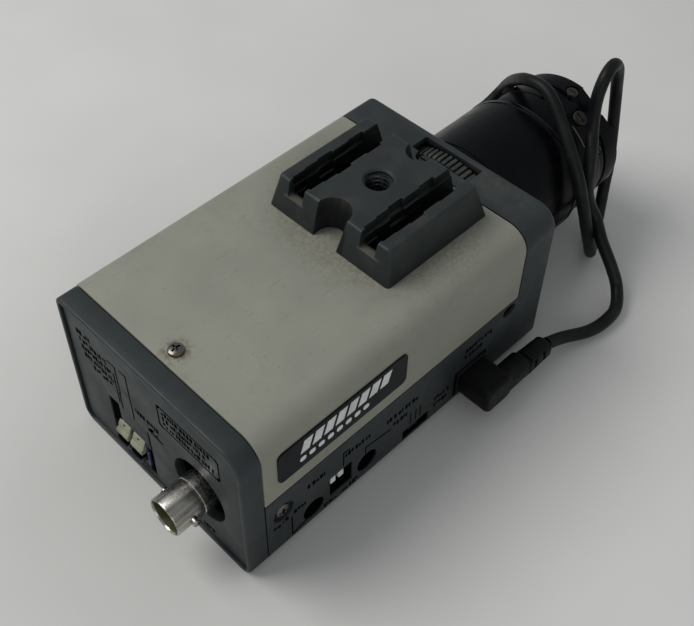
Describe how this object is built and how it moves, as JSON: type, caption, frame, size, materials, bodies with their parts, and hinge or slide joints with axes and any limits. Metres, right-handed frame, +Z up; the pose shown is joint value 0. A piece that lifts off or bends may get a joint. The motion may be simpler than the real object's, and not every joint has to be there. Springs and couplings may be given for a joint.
{
  "type": "box video camera with auto-iris lens",
  "caption": "Box-style surveillance video camera body with a C-mount auto-iris lens, coaxial video socket, mounting block, and a lens lead plugged into its side.",
  "frame": {"origin": "centre of the bottom of the box around the camera without its lens lead and plug", "axes": "+Y along the optical axis, out of the lens; +Z up towards the mounting block; +X towards the side controls and the lead plug"},
  "size_m": [0.0761, 0.1639, 0.0578],
  "materials": {
    "slate_plastic": "satin moulded, fine grain",
    "beige_paint": "satin powder coat",
    "label_dark": "satin",
    "steel": "plated",
    "dark_steel": "blackened",
    "nickel": "plated",
    "brass": "satin",
    "ivory_insulator": "satin",
    "lever_cream": "satin",
    "black_plastic": "satin",
    "white_plastic": "satin",
    "blue_plastic": "satin",
    "circuit_board": "solder resist",
    "copper_wire": "enamelled wire",
    "capacitor_sleeve": "sleeve",
    "aluminium": "turned",
    "sensor_package": "ceramic package",
    "lens_glass": "coated",
    "satin_black": "satin anodised black",
    "lead_sheath": "matt PVC"
  },
  "bodies": {
    "camera": {"front_housing": "slate_plastic", "top_cover": "beige_paint", "rear_panel": "slate_plastic", "label_plate": "label_dark", "mounting_block": "slate_plastic", "tripod_insert": "dark_steel", "block_screw_left": "steel", "block_screw_right": "steel", "cover_screw_top": "steel", "cover_screw_right": "steel", "cover_screw_left": "steel", "bnc_shell": "nickel", "bnc_insulator": "ivory_insulator", "bnc_contact": "brass", "bnc_nut": "nickel", "terminal_block": "slate_plastic", "main_board": "circuit_board", "power_board": "circuit_board", "transformer_core": "dark_steel", "transformer_coil": "copper_wire", "capacitor_1": "capacitor_sleeve", "capacitor_2": "capacitor_sleeve", "shutter_trimmer_body": "blue_plastic", "phase_trimmer_body": "blue_plastic", "dip_switch_body": "black_plastic", "slide_switch_body": "steel", "lead_socket": "black_plastic", "mount_flange": "aluminium", "focus_lock_screw": "steel", "lens_barrel": "satin_black", "iris_housing": "satin_black", "rear_lens": "lens_glass", "aperture_plate": "satin_black", "iris_coil": "copper_wire", "cable_boot": "lead_sheath", "lens_cable": "lead_sheath", "plug_body": "lead_sheath", "plug_relief": "lead_sheath"},
    "back_focus": {"back_focus_ring": "slate_plastic"},
    "sensor_carriage": {"sensor_carrier": "aluminium", "sensor_board": "circuit_board", "image_sensor": "sensor_package", "sensor_glass": "lens_glass"},
    "lens_focus": {"focus_ring": "satin_black", "ring_lock_screw": "brass"},
    "front_group": {"front_lens_cell": "satin_black", "front_lens": "lens_glass"},
    "iris_drive": {"iris_rotor": "steel"},
    "iris_upper": {"iris_leaf_upper": "satin_black"},
    "iris_lower": {"iris_leaf_lower": "satin_black"},
    "lever_1": {"terminal_lever_1": "lever_cream"},
    "lever_2": {"terminal_lever_2": "lever_cream"},
    "dip_1": {"dip_slider_1": "white_plastic"},
    "dip_2": {"dip_slider_2": "white_plastic"},
    "slide_knob": {"slide_switch_knob": "black_plastic"},
    "shutter_trim": {"shutter_trimmer_rotor": "white_plastic"},
    "phase_trim": {"phase_trimmer_rotor": "white_plastic"},
    "level_trim": {"lens_level_trimmer": "brass"},
    "peak_trim": {"lens_peak_trimmer": "brass"}
  },
  "joints": [
    {"name": "back_focus_turn", "type": "hinge", "parent": "camera", "child": "back_focus", "pos_m": [0, 0.0272, 0.0235], "axis": [0, 1, 0], "range_deg": [-90, 90]},
    {"name": "sensor_travel", "type": "slide", "parent": "camera", "child": "sensor_carriage", "axis": [0, 1, 0], "range_m": [-0.0003, 0.0003]},
    {"name": "focus_turn", "type": "hinge", "parent": "camera", "child": "lens_focus", "pos_m": [0, 0.0763, 0.0235], "axis": [0, 1, 0], "range_deg": [-60, 60]},
    {"name": "front_group_travel", "type": "slide", "parent": "camera", "child": "front_group", "axis": [0, 1, 0], "range_m": [-0.0005, 0.0005]},
    {"name": "iris_turn", "type": "hinge", "parent": "camera", "child": "iris_drive", "pos_m": [-0.0132, 0.046, 0.0235], "axis": [0, 1, 0], "range_deg": [0, 40], "stiffness_Nm_per_rad": 0.0008},
    {"name": "iris_upper_travel", "type": "slide", "parent": "camera", "child": "iris_upper", "axis": [0, 0, 1], "range_m": [0, 0.003]},
    {"name": "iris_lower_travel", "type": "slide", "parent": "camera", "child": "iris_lower", "axis": [0, 0, -1], "range_m": [0, 0.003]},
    {"name": "lever_1_press", "type": "hinge", "parent": "camera", "child": "lever_1", "pos_m": [-0.0138, -0.0626, 0.0094], "axis": [1, 0, 0], "range_deg": [0, 12], "stiffness_Nm_per_rad": 0.02, "springref_deg": -5.73},
    {"name": "lever_2_press", "type": "hinge", "parent": "camera", "child": "lever_2", "pos_m": [-0.0084, -0.0626, 0.0094], "axis": [1, 0, 0], "range_deg": [0, 12], "stiffness_Nm_per_rad": 0.02, "springref_deg": -5.73},
    {"name": "dip_1_slide", "type": "slide", "parent": "camera", "child": "dip_1", "axis": [0, 0, 1], "range_m": [-0.0026, 0]},
    {"name": "dip_2_slide", "type": "slide", "parent": "camera", "child": "dip_2", "axis": [0, 0, 1], "range_m": [-0.0026, 0]},
    {"name": "mode_slide", "type": "slide", "parent": "camera", "child": "slide_knob", "axis": [0, 1, 0], "range_m": [-0.0022, 0.0022]},
    {"name": "shutter_trim_turn", "type": "hinge", "parent": "camera", "child": "shutter_trim", "pos_m": [0.0268, -0.0503, 0.0072], "axis": [1, 0, 0], "range_deg": [-135, 135]},
    {"name": "phase_trim_turn", "type": "hinge", "parent": "camera", "child": "phase_trim", "pos_m": [0.0268, -0.033, 0.0082], "axis": [1, 0, 0], "range_deg": [-135, 135]},
    {"name": "level_trim_turn", "type": "hinge", "parent": "camera", "child": "level_trim", "pos_m": [0.00901, 0.0707, 0.0385], "axis": [0.515, 0, 0.8572], "range_deg": [-135, 135]},
    {"name": "peak_trim_turn", "type": "hinge", "parent": "camera", "child": "peak_trim", "pos_m": [0.01573, 0.0716, 0.03117], "axis": [0.8988, 0, 0.4384], "range_deg": [-135, 135]}
  ],
  "couplings": [
    {"joint": "back_focus_turn", "follows": "sensor_travel", "rad_per_m": 5230.2},
    {"joint": "focus_turn", "follows": "front_group_travel", "rad_per_m": 2090.9},
    {"joint": "iris_turn", "follows": "iris_upper_travel", "rad_per_m": 232.13},
    {"joint": "iris_lower_travel", "follows": "iris_upper_travel", "ratio": 1}
  ]
}
